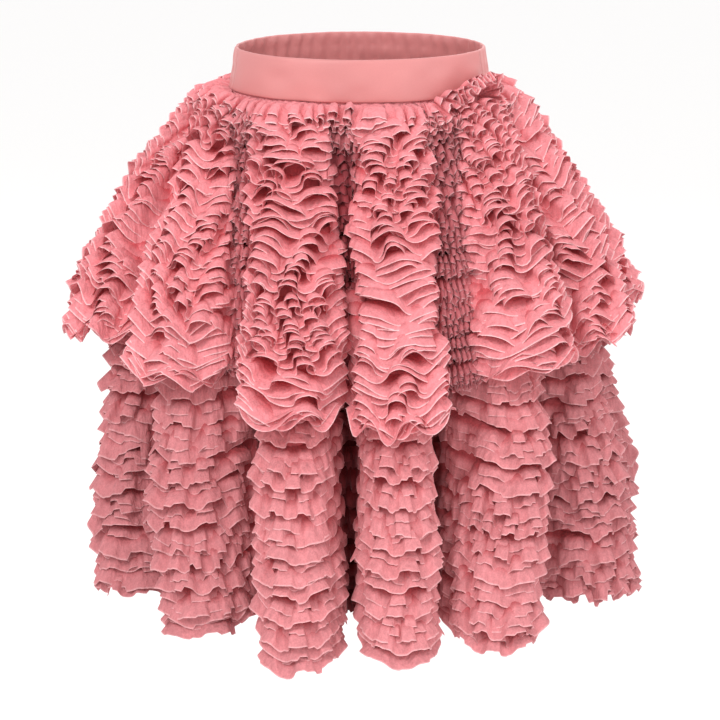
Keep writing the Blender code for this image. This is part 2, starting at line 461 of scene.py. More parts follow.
    def slopes(
        self, tier: Tier, place: np.ndarray, share: np.ndarray
    ) -> tuple[np.ndarray, np.ndarray]:
        """How the bare panel faces.

        Args:
            tier: which skirt.
            place: where round it, in flutes.
            share: how far down it.

        Returns:
            The outward direction at each place, and the metres of cloth in one share there.
        """
        aside, below = 0.055, 0.02
        along = self.point(tier, place + aside, share) - self.point(tier, place - aside, share)
        upper = np.clip(share - below, 0.0, 1.0 - below)
        lower = np.clip(share + below, below, 1.0)
        down = self.point(tier, place, lower) - self.point(tier, place, upper)
        metres = np.linalg.norm(down, axis=1) / np.maximum(lower - upper, 1e-6)
        return unit(np.cross(down, along)), metres


# Mesh building


@dataclass
class ClothMesh:
    """Gathers grids of points into one mesh with its stored values and its cloth map.

    The cloth map lays each long grid out in short bands, one under the other.
    """

    band_columns: int = 512
    margin: float = 0.03
    points: list = field(default_factory=list)
    faces: list = field(default_factory=list)
    stored: dict = field(default_factory=dict)
    corners: list = field(default_factory=list)
    bands: int = 0
    count: int = 0

    def add_grid(
        self, grid: np.ndarray, values: dict[str, np.ndarray], closed_rows: bool = False
    ) -> None:
        """Adds one grid of cloth.

        Args:
            grid: rows by columns by x, y, z.
            values: stored values by name, each rows by columns.
            closed_rows: whether the last row joins back to the first.
        """
        rows, columns = grid.shape[:2]
        at = np.arange(rows * columns).reshape(rows, columns) + self.count
        if closed_rows:
            at = np.vstack([at, at[:1]])
        quads = np.stack([at[:-1, :-1], at[1:, :-1], at[1:, 1:], at[:-1, 1:]], axis=-1)
        self.faces.append(quads.reshape(-1, 4))
        self.points.append(grid.reshape(-1, 3))
        for name, value in values.items():
            self.stored.setdefault(name, []).append(np.broadcast_to(value, grid.shape[:2]).ravel())
        row, column = np.indices((at.shape[0] - 1, columns - 1))
        band = column // self.band_columns
        steps = ((0, 0), (1, 0), (1, 1), (0, 1))
        across = [column + right - band * self.band_columns for _, right in steps]
        down = [(row + lower) / (at.shape[0] - 1) for lower, _ in steps]
        aside = np.stack(across, axis=-1) / min(self.band_columns, columns - 1)
        below = np.stack(down, axis=-1) * (1.0 - 2.0 * self.margin) + self.margin
        below = below + band[..., None] + self.bands
        self.corners.append(np.stack([aside, below], axis=-1).reshape(-1, 2))
        self.bands += int(band.max()) + 1
        self.count += rows * columns

    def build(self, name: str) -> bpy.types.Object:
        """Makes the object, smooth shaded.

        Args:
            name: the piece's name.

        Returns:
            The new object, linked to the scene.
        """
        points = np.concatenate(self.points)
        faces = np.concatenate(self.faces)
        mesh = bpy.data.meshes.new(name)
        mesh.vertices.add(len(points))
        mesh.vertices.foreach_set("co", points.astype(np.float32).ravel())
        mesh.loops.add(faces.size)
        mesh.loops.foreach_set("vertex_index", faces.astype(np.int32).ravel())
        mesh.polygons.add(len(faces))
        mesh.polygons.foreach_set("loop_start", np.arange(0, faces.size, 4, dtype=np.int32))
        mesh.polygons.foreach_set("use_smooth", np.ones(len(faces), bool))
        cloth_map = mesh.uv_layers.new(name="OFBake")
        corners = np.concatenate(self.corners)
        corners[:, 1] /= self.bands
        cloth_map.data.foreach_set("uv", corners.astype(np.float32).ravel())
        for stored, values in self.stored.items():
            layer = mesh.attributes.new(stored, "FLOAT", "POINT")
            layer.data.foreach_set("value", np.concatenate(values).astype(np.float32))
        mesh.update(calc_edges=True)
        mesh.validate()
        piece = bpy.data.objects.new(name, mesh)
        bpy.context.scene.collection.objects.link(piece)
        return piece


# Finishes


@dataclass
class NodeBench:
    """Wires shader nodes together by name."""

    tree: bpy.types.NodeTree

    def add(self, kind: str, **settings: str) -> bpy.types.Node:
        """Adds a node.

        Args:
            kind: the node's type.
            settings: its plain settings by name.

        Returns:
            The new node.
        """
        node = self.tree.nodes.new(kind)
        for name, value in settings.items():
            setattr(node, name, value)
        return node

    def join(self, source: Socket, target: Socket) -> None:
        """Links one socket to another."""
        self.tree.links.new(source, target)

    def ramp(self, source: Socket, stops: Sequence[tuple]) -> Socket:
        """Turns a value into a colour.

        Args:
            source: the value's socket.
            stops: pairs of a place from 0 to 1 and an RGB colour.

        Returns:
            The colour's socket.
        """
        node = self.add("ShaderNodeValToRGB")
        elements = node.color_ramp.elements
        while len(elements) < len(stops):
            elements.new(0.5)
        for element, (place, colour) in zip(elements, stops):
            element.position = place
            element.color = (*colour, 1.0)
        self.join(source, node.inputs["Fac"])
        return node.outputs["Color"]

    def mottle(self, scale: float, detail: float = 2.0, upright: float = 1.0) -> Socket:
        """Noise over the piece's own coordinates.

        Args:
            scale: how fine it is.
            detail: how many finer layers it has.
            upright: how much coarser it is up and down than around.

        Returns:
            The noise's socket, a value.
        """
        place = self.add("ShaderNodeTexCoord")
        stretch = self.add("ShaderNodeMapping")
        stretch.inputs["Scale"].default_value = (1.0, 1.0, 1.0 / upright)
        noise = self.add("ShaderNodeTexNoise")
        noise.inputs["Scale"].default_value = scale
        noise.inputs["Detail"].default_value = detail
        self.join(place.outputs["Object"], stretch.inputs["Vector"])
        self.join(stretch.outputs["Vector"], noise.inputs["Vector"])
        return noise.outputs["Fac"]

    def shade(self, colour: Socket, amount: Socket, shades: tuple[float, float]) -> Socket:
        """Makes a colour lighter or darker.

        Args:
            colour: the colour's socket.
            amount: a value from 0 to 1.
            shades: what the colour is multiplied by where the amount is 0, and where it is 1.

        Returns:
            The shaded colour's socket.
        """
        spread = self.add("ShaderNodeMapRange")
        spread.inputs["To Min"].default_value, spread.inputs["To Max"].default_value = shades
        self.join(amount, spread.inputs["Value"])
        return self.tint(colour, spread.outputs["Result"])

    def tint(self, colour: Socket, other: Socket) -> Socket:
        """Multiplies a colour by another colour or a value.

        Args:
            colour: the colour's socket.
            other: the socket of another colour or of a value.

        Returns:
            The product's socket.
        """
        mixed = self.add("ShaderNodeMix", data_type="RGBA", blend_type="MULTIPLY")
        mixed.inputs["Factor"].default_value = 1.0
        self.join(colour, mixed.inputs["A"])
        self.join(other, mixed.inputs["B"])
        return mixed.outputs["Result"]

    def bump(self, height: Socket, strength: float, distance: float) -> Socket:
        """Raises the surface by a value.

        Args:
            height: the value's socket.
            strength: how much of the relief shows, from 0 to 1.
            distance: the relief's height in metres.

        Returns:
            The bumped normal's socket.
        """
        node = self.add("ShaderNodeBump")
        node.inputs["Strength"].default_value = strength
        node.inputs["Distance"].default_value = distance
        self.join(height, node.inputs["Height"])
        return node.outputs["Normal"]


def put_on(piece: bpy.types.Object, finish: bpy.types.Material, solid: str) -> None:
    """Gives a piece its finish and puts it on the root body in place of its solid.

    Args:
        piece: the finished piece.
        finish: its material.
        solid: the node of the part that it takes the place of.
    """
    piece.data.materials.append(finish)
    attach(piece, "root")
    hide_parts(solid)


def new_finish(name: str, settings: dict) -> tuple[bpy.types.Material, NodeBench, bpy.types.Node]:
    """Starts a material.

    Args:
        name: the material's name.
        settings: plain values of its main shader, by input.

    Returns:
        The material, a bench on its nodes and its main shader.
    """
    material = bpy.data.materials.new(name)
    material.use_nodes = True
    shader = material.node_tree.nodes["Principled BSDF"]
    for label, value in settings.items():
        shader.inputs[label].default_value = value
    return material, NodeBench(material.node_tree), shader


@dataclass(frozen=True)
class TulleFinish:
    """Soft matt tulle: its pink painted deep near the stitches and pale along its cut edge.

    The stops say how far down the strip each colour lies: the deep stop is painted shade under
    the row above, and the pale one a painted highlight along the cut edge.  The slit shade is
    painted shade that multiplies them between flutes, and painted_glow is a faint painted glow
    that stands in for the light that net lets through.  Patches and threads are how fine the
    random tone is, and crinkles how fine the bump is, each with its darkest and lightest shade;
    the crinkles' shades are painted shade in the bump's hollows and painted light on its tops.
    """

    name: str
    deep: tuple[float, float, float] = (0.63, 0.110, 0.125)
    body: tuple[float, float, float] = (0.79, 0.268, 0.292)
    pale: tuple[float, float, float] = (0.95, 0.605, 0.622)
    deep_to: float = 0.35
    body_from: float = 0.72
    pale_from: float = 0.95
    slit_shade: tuple[float, float, float] = (0.34, 0.19, 0.205)
    painted_glow: float = 0.05
    roughness: float = 0.85
    sheen: float = 0.12
    patches: float = 16.0
    patch_shades: tuple[float, float] = (0.86, 1.12)
    threads: float = 620.0
    thread_shades: tuple[float, float] = (0.80, 1.18)
    crinkles: float = 210.0
    crinkle_painted_shading: tuple[float, float] = (0.72, 1.26)
    crinkle_length: float = 6.0
    crinkle_height: float = 0.0030

    def make(self) -> bpy.types.Material:
        """Builds the material.

        Returns:
            A material that reads the stored values edge and slit.
        """
        settings = {
            "Emission Strength": self.painted_glow,
            "Roughness": self.roughness,
            "Sheen Weight": self.sheen,
            "Sheen Roughness": 0.45,
            "Sheen Tint": (1.0, 0.74, 0.76, 1.0),
            "Specular IOR Level": 0.05,
        }
        material, bench, shader = new_finish(self.name, settings)
        edge = bench.add("ShaderNodeAttribute", attribute_name="edge").outputs["Fac"]
        slit = bench.add("ShaderNodeAttribute", attribute_name="slit").outputs["Fac"]
        # painted shade near the stitches, under the row above, and a painted highlight along the cut
        # edge
        stops = ((self.deep_to, self.deep), (self.body_from, self.body), (self.pale_from, self.body))
        colour = bench.ramp(edge, (*stops, (1.0, self.pale)))
        # painted shade in the slits between flutes, and on the underskirt's flanks
        shading = bench.ramp(slit, ((0.0, (1.0, 1.0, 1.0)), (1.0, self.slit_shade)))
        colour = bench.tint(colour, shading)
        colour = bench.shade(colour, bench.mottle(self.patches), self.patch_shades)
        colour = bench.shade(colour, bench.mottle(self.threads, 1.0), self.thread_shades)
        # painted shade and light: the crinkles darken the colour in the bump's hollows and lighten
        # it on its tops
        crinkles = bench.mottle(self.crinkles, 2.0, self.crinkle_length)
        colour = bench.shade(colour, crinkles, self.crinkle_painted_shading)
        bench.join(colour, shader.inputs["Base Color"])
        # painted glow: the cloth glows faintly in its own colour, for the light that net lets
        # through
        bench.join(colour, shader.inputs["Emission Color"])
        bench.join(bench.bump(crinkles, 0.8, self.crinkle_height), shader.inputs["Normal"])
        return material


@dataclass(frozen=True)
class CrepeFinish:
    """Smooth satin-backed crepe with a low lustre and a fine pebbled weave."""

    name: str
    colour: tuple[float, float, float] = (0.625, 0.233, 0.228)
    roughness: float = 0.46
    sheen: float = 0.25
    clouds: float = 13.0
    cloud_shades: tuple[float, float] = (0.84, 1.14)
    pebbles: float = 900.0
    pebble_shades: tuple[float, float] = (0.95, 1.04)
    pebble_height: float = 0.0004

    def make(self) -> bpy.types.Material:
        """Builds the material.

        Returns:
            A material with a fine weave and a soft sheen.
        """
        settings = {
            "Roughness": self.roughness,
            "Sheen Weight": self.sheen,
            "Sheen Roughness": 0.35,
            "Sheen Tint": (1.0, 0.82, 0.80, 1.0),
            "Specular IOR Level": 0.40,
        }
        material, bench, shader = new_finish(self.name, settings)
        base = bench.add("ShaderNodeRGB")
        base.outputs[0].default_value = (*self.colour, 1.0)
        colour = bench.shade(base.outputs[0], bench.mottle(self.clouds), self.cloud_shades)
        pebbles = bench.mottle(self.pebbles)
        colour = bench.shade(colour, pebbles, self.pebble_shades)
        bench.join(colour, shader.inputs["Base Color"])
        bench.join(bench.bump(pebbles, 0.12, self.pebble_height), shader.inputs["Normal"])
        return material


# Gathered strips


@dataclass(frozen=True)
class Gather:
    """How a row of gathered tulle waves.

    wave is the length of one wave and swing how far it swings.  curl folds the waves back over
    themselves, as a share of their length, and squareness flattens them into pleats.  stand is
    the angle between the strip and its panel in degrees, billow lifts broad stretches of the
    edge up and down, and ragged cuts the pleats unevenly, as a share of the strip's depth.
    """

    wave: Amount
    swing: Amount
    curl: Amount
    squareness: Amount
    stand: Amount
    billow: Amount
    ragged: Amount

    def towards(self, other: Gather, share: Amount) -> Gather:
        """The gather that lies this share of the way to another one."""
        names = [spec.name for spec in fields(self)]
        return Gather(*(blend(getattr(self, name), getattr(other, name), share) for name in names))

    def at(self, wanted: np.ndarray, known: np.ndarray) -> Gather:
        """Its amounts read at other places round the row."""
        names = [spec.name for spec in fields(self)]
        return Gather(*(np.interp(wanted, known, getattr(self, name)) for name in names))


@dataclass(frozen=True)
class TierGathers:
    """How the rows of one skirt gather: broad, curled and in the slits between its flutes.

    The curled shares say how much of a row is curled at the top and at the hem, and patchy how
    much that comes and goes.  slit_from is where across a flute the slit's waves begin.  settled
    is how soon the waves leave those of the row above.  flank_shade is how much of a slit's
    painted shade the flanks take, a painted shadow of the overskirt on the underskirt's sides,
    and flank_ragged how much more unevenly they are cut.  outer_length is how much of the
    strip's depth the outer ply has, and dark_at_once whether the slits' painted shade starts
    from the top row on.
    """

    broad: Gather
    curled: Gather
    slit: Gather
    curled_top: float
    curled_hem: float
    patchy: float
    slit_from_top: float
    slit_from_hem: float
    settled: float
    flank_shade: float
    flank_ragged: float
    outer_length: float
    dark_at_once: bool


PLAIN_GATHER = Gather(0.0150, 0.0056, 0.17, 1.0, 47.0, 0.005, 0.06)
OVER_GATHERS = TierGathers(
    broad=Gather(0.050, 0.0088, 0.015, 0.1, 46.0, 0.0060, 0.03),
    curled=Gather(0.0230, 0.0074, 0.170, 0.4, 60.0, 0.0050, 0.015),
    slit=Gather(0.0086, 0.0042, 0.200, 0.6, 64.0, 0.0020, 0.08),
    curled_top=0.80,
    curled_hem=0.14,
    patchy=0.55,
    slit_from_top=0.54,
    slit_from_hem=0.74,
    settled=0.13,
    flank_shade=0.0,
    flank_ragged=3.5,
    outer_length=0.86,
    dark_at_once=False,
)
UNDER_GATHERS = TierGathers(
    broad=Gather(0.034, 0.0046, 0.04, 2.0, 42.0, 0.0060, 0.08),
    curled=Gather(0.0220, 0.0056, 0.110, 1.3, 49.0, 0.0060, 0.07),
    slit=Gather(0.0130, 0.0036, 0.060, 2.2, 50.0, 0.0030, 0.16),
    curled_top=0.25,
    curled_hem=0.15,
    patchy=0.50,
    slit_from_top=0.66,
    slit_from_hem=0.66,
    settled=0.45,
    flank_shade=0.22,
    flank_ragged=1.2,
    outer_length=0.68,
    dark_at_once=True,
)


class Ply(Enum):
    """The two plies of each row: the outer one is cut shorter, so both edges show."""

    OUTER = "outer"
    INNER = "inner"


@dataclass(frozen=True)
class PlyCut:
    """How one ply of a row is laid: its levels down the strip and its place.

    outward is how far it lies off the row's own surface, and wander how far its waves leave the
    other ply's, in waves.
    """

    levels: tuple[float, ...]
    outward: float
    wander: float


PLY_CUTS: dict[Ply, PlyCut] = {
    Ply.OUTER: PlyCut((0.0, 0.50, 0.82, 1.0), 0.0012, 0.0),
    Ply.INNER: PlyCut((0.0, 0.62, 1.0), -0.0026, 0.22),
}
PLEATS = 4096  # how many pleats of a row have random values of their own

# What comes and goes over the ruffles.
PATCHES = Drift(57, 1.7, 0.17)
FINE_PATCHES = Drift(58, 4.0, 0.4)
SLIT_EDGES = Drift(59, 2.0, 0.5)
STANDING = Drift(11, 2.0, 0.5)
FLUFFING = Drift(12, 5.0, 1.0)
BROAD_BILLOWS = Drift(77, 4.4, 0.20)
RIDGES = Drift(78, 3.6, 0.16)
NESTING = Drift(91, 1.0, 1.0)
# And over the panels and the waistband.
PUCKERING = Drift(5, 4.0, 1.0)
SWAYING = Drift(3, 2.4, 1.0)
ELASTIC = Drift(8, 2.0, 1.0)


@dataclass
class RowLines:
    """One row of ruffle at each of its columns: its two lines, its directions and its waves.

    room is how far the row stands off its panel, and outer_length how long its outer ply is.
    """

    number: int
    place: np.ndarray
    sewn: np.ndarray
    free: np.ndarray
    along: np.ndarray
    upward: np.ndarray
    phase: np.ndarray
    gather: Gather
    billow: np.ndarray
    slit: np.ndarray
    room: np.ndarray
    outer_length: float


@dataclass
class RuffleWorks:
    """Lays rows of gathered tulle on the skirt's form.

    Each wave has from fewest_columns to most_columns columns of mesh.  The spreads are how much
    a size varies from place to place, as a share of itself or in degrees.  The reach shares are
    how far a strip stands off its panel across a flute, from crest to slit.
    """

    form: SkirtForm
    strip_depth: float = 0.034
    inner_length: float = 1.03
    off_panel: float = 0.0008
    least_hang: float = 0.01
    raised: float = 0.5
    column_width: float = 0.0015
    fewest_columns: float = 6.0
    most_columns: float = 22.0
    coarse_per_flute: int = 96
    opening_place: float = -3.5  # the slit at the back where a strip's two ends meet
    # the flanks, in flutes from the middle of the front: where they and the back begin
    front_middle: float = 2.7
    flank_from: float = 1.0
    flank_over: float = 1.1
    back_from: float = 3.4
    back_over: float = 1.2
    back_calm: float = 0.7
    reach_across_top: tuple[float, ...] = (0.0, 0.45, 0.70, 0.88, 1.02)
    reach_at_top: tuple[float, ...] = (0.92, 0.86, 0.46, 0.22, 0.22)
    reach_across_hem: tuple[float, ...] = (0.0, 0.50, 0.80, 0.96, 1.05)
    reach_at_hem: tuple[float, ...] = (1.0, 1.0, 0.70, 0.28, 0.10)
    waist_reach: float = 0.80
    # how the curled stretches come and go, and how the slits' waves and painted shade begin
    curl_power: float = 0.7
    fine_patches: float = 0.5
    flank_uncurled: float = 0.30
    slit_edge_spread: float = 0.06
    slit_over: float = 0.22
    dark_over: float = 0.14
    nest_waves: float = 1.3
    nest_half: float = 0.33
    # what a wide slit's ruffles have: less painted shade, further reach and an earlier start
    wide_lighter: float = 0.75
    wide_reach: float = 0.22
    wide_sooner: float = 0.30
    # where the top strip stands up against the waistband: middle, half width and angle
    fluffs: tuple[tuple[float, float, float], ...] = ((3.95, 0.55, 92.0),)
    fluff_spread: float = 22.0
    fluff_flatness: float = 1.8
    stand_spread: float = 12.0
    wave_spread: float = 0.60
    swing_spread: float = 0.45
    fold_spread: float = 0.30
    length_spread: float = 0.09
    plain_jog: float = 0.4
    curled_jog: float = 9.0
    broad_billow: float = 0.55
    ridge_billow: float = 0.60
    top_billow: float = 0.25
    sharpness: float = 0.96
    tube_share: float = 0.35
    bow: float = 0.10
    wave_growth: float = 0.45
    billow_growth: float = 0.8
    most_ragged: float = 0.26
    side_ragged: float = 2.6
    side_from: float = 0.30
    side_over: float = 0.25
    uneven_cut: float = 0.8
    slanted_cut: float = 1.2
    sink: float = 0.8
    top_paleness: float = 0.75

    def reach_share(self, tier: Tier, place: np.ndarray, sewn_at: float) -> np.ndarray:
        """Works out how much of its full reach a strip stands off its panel across a flute.

        Args:
            tier: which skirt.
            place: where round it, in flutes.
            sewn_at: how far down the panel the strip is sewn.

        Returns:
            The share at each place.
        """
        across = self.form.across(tier, place)
        upper = np.interp(across, self.reach_across_top, self.reach_at_top)
        lower = np.interp(across, self.reach_across_hem, self.reach_at_hem)
        deep = blend(upper, lower, smooth_step((sewn_at - 0.5) / 0.3))
        deep = deep + self.wide_reach * self.form.wide_slit(tier, place)
        return blend(self.waist_reach, deep, smooth_step(sewn_at / 0.22))

    def slit_share(self, tier: Tier, place: np.ndarray, start: float) -> np.ndarray:
        """Finds the slits between flutes.

        Args:
            tier: which skirt.
            place: where round it, in flutes.
            start: where the slit's waves begin, from 0 on the crest to 1.

        Returns:
            0 on a flute's crest and 1 down in the slit beside it.
        """
        across = 2.0 * np.abs(place - np.round(place))
        wide = self.form.wide_slit(tier, place)
        return smooth_step((across - start + self.wide_sooner * wide) / self.slit_over)

    def flank(self, place: np.ndarray) -> np.ndarray:
        """0 over the middle of the front, 1 on its flanks and less again round the back."""
        aside = np.abs(place - self.front_middle)
        back = self.back_calm * smooth_step((aside - self.back_from) / self.back_over)
        return smooth_step((aside - self.flank_from) / self.flank_over) * (1.0 - back)

    def mixed(
        self, tier: Tier, gathers: TierGathers, place: np.ndarray, share: float, number: int
    ) -> tuple[Gather, np.ndarray]:
        """Works out how one row gathers at each place.

        Args:
            tier: which skirt.
            gathers: how the rows of this skirt gather.
            place: where round the skirt, in flutes.
            share: how far down the ruffled cloth the row lies.
            number: the row's own number.

        Returns:
            The gather, with an amount for each place, and how deep in a slit each place is.
        """
        curled = blend(gathers.curled_top, gathers.curled_hem, share**self.curl_power)
        patches = PATCHES.at(place, number) + self.fine_patches * FINE_PATCHES.at(place, number)
        own = self.form.of_flute("curled", place) - 0.5
        curled = curled + gathers.patchy * patches + own * smooth_step(share / 0.3)
        curled = smooth_step(curled - self.flank_uncurled * self.flank(place))
        start = blend(gathers.slit_from_top, gathers.slit_from_hem, share)
        start = start + self.slit_edge_spread * SLIT_EDGES.at(place, number)
        slit = self.slit_share(tier, place, start)
        mixed = gathers.broad.towards(gathers.curled, curled).towards(gathers.slit, slit)
        # the slits' painted shade fades in over the top rows
        begun = 1.0 if gathers.dark_at_once else smooth_step(share / self.dark_over)
        return mixed, slit * begun

    def shaded(
        self, tier: Tier, gathers: TierGathers, place: np.ndarray, slit: np.ndarray
    ) -> np.ndarray:
        """Shares out the slits' painted shade: the flanks take some of it, and wide slits less.

        Args:
            tier: which skirt.
            gathers: how the rows of this skirt gather.
            place: where round it, in flutes.
            slit: how deep in a slit each place is.

        Returns:
            How much of the painted shade each place has.
        """
        # painted shadow: the flanks take some of the slits' painted shade
        slit = blend(slit, 1.0, gathers.flank_shade * self.flank(place))
        wide = self.form.wide_slit(tier, place)
        return slit * (1.0 - self.wide_lighter * np.sqrt(wide) * (1.0 - 0.5 * wide**4))

    def stand(self, gather: Gather, place: np.ndarray, number: int, plain: bool) -> np.ndarray:
        """Works out the angle between a row and its panel.

        Args:
            gather: how the row gathers.
            place: where round it, in flutes.
            number: the row's own number.
            plain: whether it is the plain strip under the waistband.

        Returns:
            The angles in radians.
        """
        angle = gather.stand + self.stand_spread * STANDING.at(place, number)
        for middle, half, upright in self.fluffs if plain else ():
            fluff = smooth_step(self.fluff_flatness * (1.0 - np.abs(place - middle) / half))
            stood = upright + self.fluff_spread * FLUFFING.at(place, number)
            angle = blend(angle, stood, fluff)
        return np.radians(angle)

    def columns(self, place: np.ndarray, phase: np.ndarray, wave: np.ndarray) -> np.ndarray:
        """Lays out a row's columns of mesh, closest where its waves are short.

        Args:
            place: where round it, in flutes.
            phase: the row's waves there, in radians.
            wave: the length of one wave there.

        Returns:
            The place of each column.
        """
        per_wave = np.clip(wave / self.column_width, self.fewest_columns, self.most_columns)
        density = np.diff(phase) / TURN * 0.5 * (per_wave[1:] + per_wave[:-1])
        column = np.concatenate([[0.0], np.cumsum(density)])
        return np.interp(np.linspace(0.0, column[-1], int(column[-1]) + 1), column, place)

    def row(
        self, tier: Tier, sewn_at: float, gathers: TierGathers, number: int, plain: bool
    ) -> RowLines:
        """Works out one row of ruffle all round the skirt.

        Args:
            tier: which skirt it is sewn on.
            sewn_at: how far down the panel its stitches lie.
            gathers: how the rows of this skirt gather.
            number: the row's own number, for its random values.
            plain: whether it is the plain strip under the waistband.

        Returns:
            The row's lines and waves at each of its columns.
        """
        flutes = len(FLUTES)
        place = np.linspace(0.0, flutes, flutes * self.coarse_per_flute + 1) + self.opening_place
        outward, metres = self.form.slopes(tier, place, np.full(place.shape, sewn_at))
        share = (sewn_at - tier.first_ruffle) / (1.0 - tier.first_ruffle)
        gather, slit = self.mixed(tier, gathers, place, share, number)
        sides = 1.0 + gathers.flank_ragged * self.flank(place)
        gather = replace(gather, ragged=gather.ragged * sides)
        if plain:
            gather = gather.towards(PLAIN_GATHER, 1.0)
        stand = self.stand(gather, place, number, plain)
        drop = self.strip_depth * np.cos(stand)
        lowest = max(tier.hang_to, sewn_at + self.least_hang)
        free_at = np.clip(sewn_at + drop / metres, 0.0, lowest)
        free_out, _ = self.form.slopes(tier, place, free_at)
        reach = self.strip_depth * np.sin(stand) * self.reach_share(tier, place, sewn_at)
        sewn = self.form.point(tier, place, sewn_at) + outward * self.off_panel
        free = self.form.point(tier, place, free_at) + free_out * reach[:, None]
        free[:, 2] += self.raised * np.maximum(0.0, -drop)
        uneven = Drift(31, 4.0, gathers.settled).at(place, number)
        wave = gather.wave * np.exp(self.wave_spread * uneven)
        steps = np.diff(arc_length(free)) / (0.5 * (wave[1:] + wave[:-1]))
        phase = TURN * np.concatenate([[0.0], np.cumsum(steps)])
        phase = self.nested(place, phase, gathers.settled * number)
        fine = self.columns(place, phase, wave)
        sewn = np.stack([np.interp(fine, place, axis) for axis in sewn.T], axis=-1)
        free = np.stack([np.interp(fine, place, axis) for axis in free.T], axis=-1)
        along = unit(np.gradient(free, axis=0))
        jog = self.plain_jog + self.curled_jog * np.interp(fine, place, gather.curl)
        jog = jog * Drift(400 + number, 6.0, 1.0).at(fine)
        ridge = 1.0 - 2.0 * np.abs(RIDGES.at(fine, number))
        billow = self.broad_billow * BROAD_BILLOWS.at(fine, number) + self.ridge_billow * ridge
        begun = 1.0 if tier is UNDERSKIRT else smooth_step(share / self.dark_over)
        return RowLines(
            number=number,
            place=fine,
            sewn=sewn,
            free=free,
            along=along,
            upward=unit(np.cross(free - sewn, along)),
            phase=np.interp(fine, place, phase) + jog,
            gather=gather.at(fine, place),
            billow=billow * blend(self.top_billow, 1.0, begun),
            slit=np.interp(fine, place, self.shaded(tier, gathers, place, slit)),
            room=np.interp(fine, place, reach),
            outer_length=gathers.outer_length,
        )

    def nested(self, place: np.ndarray, phase: np.ndarray, settled: float) -> np.ndarray:
        """Shifts a row's waves so that on each crest they nest in those of the row above.

        Args:
            place: where round the skirt, in flutes.
            phase: the row's own waves there, in radians.
            settled: how far the nested waves have drifted by this row.

        Returns:
            The shifted waves; the change from crest to crest is taken up in the slits.
        """
        crests = np.arange(math.ceil(place[0]), math.floor(place[-1]) + 1)
        own = np.interp(crests, place, phase)
        wanted = TURN * self.nest_waves * NESTING.at(crests.astype(float), settled)
        shift = (wanted - own + math.pi) % TURN - math.pi
        known = np.stack([crests - self.nest_half, crests + self.nest_half], axis=1).ravel()
        return phase + np.interp(place, known, np.repeat(shift, 2))

    def swung(self, gather: Gather, phase: np.ndarray) -> np.ndarray:
        """Shapes the waves: pointed, or flat-topped where they are square.

        Args:
            gather: how the row gathers.
            phase: its waves in radians.

        Returns:
            How far each place swings, from -1 to 1.
        """
        wider = self.tube_share * smooth_step(gather.squareness - 1.0)
        level = np.tanh(gather.squareness * (np.sin(phase) + wider)) / np.tanh(gather.squareness)
        pointed = np.arcsin(self.sharpness * np.sin(phase)) / math.asin(self.sharpness)
        return blend(pointed, level, smooth_step(gather.squareness))

    def cut(self, row: RowLines, phase: np.ndarray, own: int) -> np.ndarray:
        """Cuts a ply unevenly, pleat by pleat.

        Args:
            row: the row's lines and waves.
            phase: the ply's waves in radians.
            own: the ply's own number, for its random values.

        Returns:
            How long each place is, as a share of the ply's length.
        """
        pleat = np.floor(phase / math.pi + 0.5).astype(int)
        shorter, slanted = np.random.default_rng(1300 + own).uniform(-1.0, 1.0, (2, PLEATS))
        tilt = (phase / math.pi + 0.5 - pleat - 0.5) * slanted[pleat % PLEATS]
        across = 2.0 * np.abs(row.place - np.round(row.place))
        sides = 1.0 + self.side_ragged * smooth_step((across - self.side_from) / self.side_over)
        depth = np.minimum(row.gather.ragged * sides, self.most_ragged)
        return 1.0 + depth * (self.uneven_cut * shorter[pleat % PLEATS] + self.slanted_cut * tilt)

    def ply(self, row: RowLines, ply: Ply) -> tuple[np.ndarray, dict]:
        """Shapes one ply of a row.

        Args:
            row: the row's lines and waves.
            ply: which of its two plies.

        Returns:
            Its grid of points from the stitches to the free edge, and its stored values.
        """
        laid = PLY_CUTS[ply]
        gather = row.gather
        own = 2 * row.number + list(Ply).index(ply)
        phase = row.phase + TURN * laid.wander * Drift(600 + own, 5.0, 1.0).at(row.place)
        loops = Drift(200 + own, 9.0, 1.0).at(row.place)
        swung = self.swung(gather, phase) * gather.swing * (1.0 + self.swing_spread * loops)
        folded = -np.sin(2.0 * phase) * gather.curl * gather.wave * (1.0 + self.fold_spread * loops)
        cut = self.cut(row, phase, own)
        billow = row.billow * gather.billow
        whole = row.outer_length if ply is Ply.OUTER else self.inner_length
        length = whole * (1.0 + self.length_spread * Drift(800 + own, 2.3, 1.0).at(row.place))
        lines = []
        for level in laid.levels:
            grown = level**self.wave_growth
            bowed = self.bow * self.strip_depth * math.sin(math.pi * level)
            lift = bowed + laid.outward * grown + grown * swung
            lift = lift + level**self.billow_growth * billow
            lift = np.maximum(lift, -self.sink * level * row.room)
            down = level * length * blend(1.0, cut, level)
            spot = row.sewn + (row.free - row.sewn) * down[:, None] + row.upward * lift[:, None]
            lines.append(spot + row.along * (grown * grown * folded)[:, None])
        edge = np.array(laid.levels)[:, None] * np.ones(len(phase))
        # the top row gets no painted shade near its stitches
        if row.number == 0:
            edge = np.maximum(edge, self.top_paleness)
        return np.array(lines), {"edge": edge, "slit": np.broadcast_to(row.slit, edge.shape)}


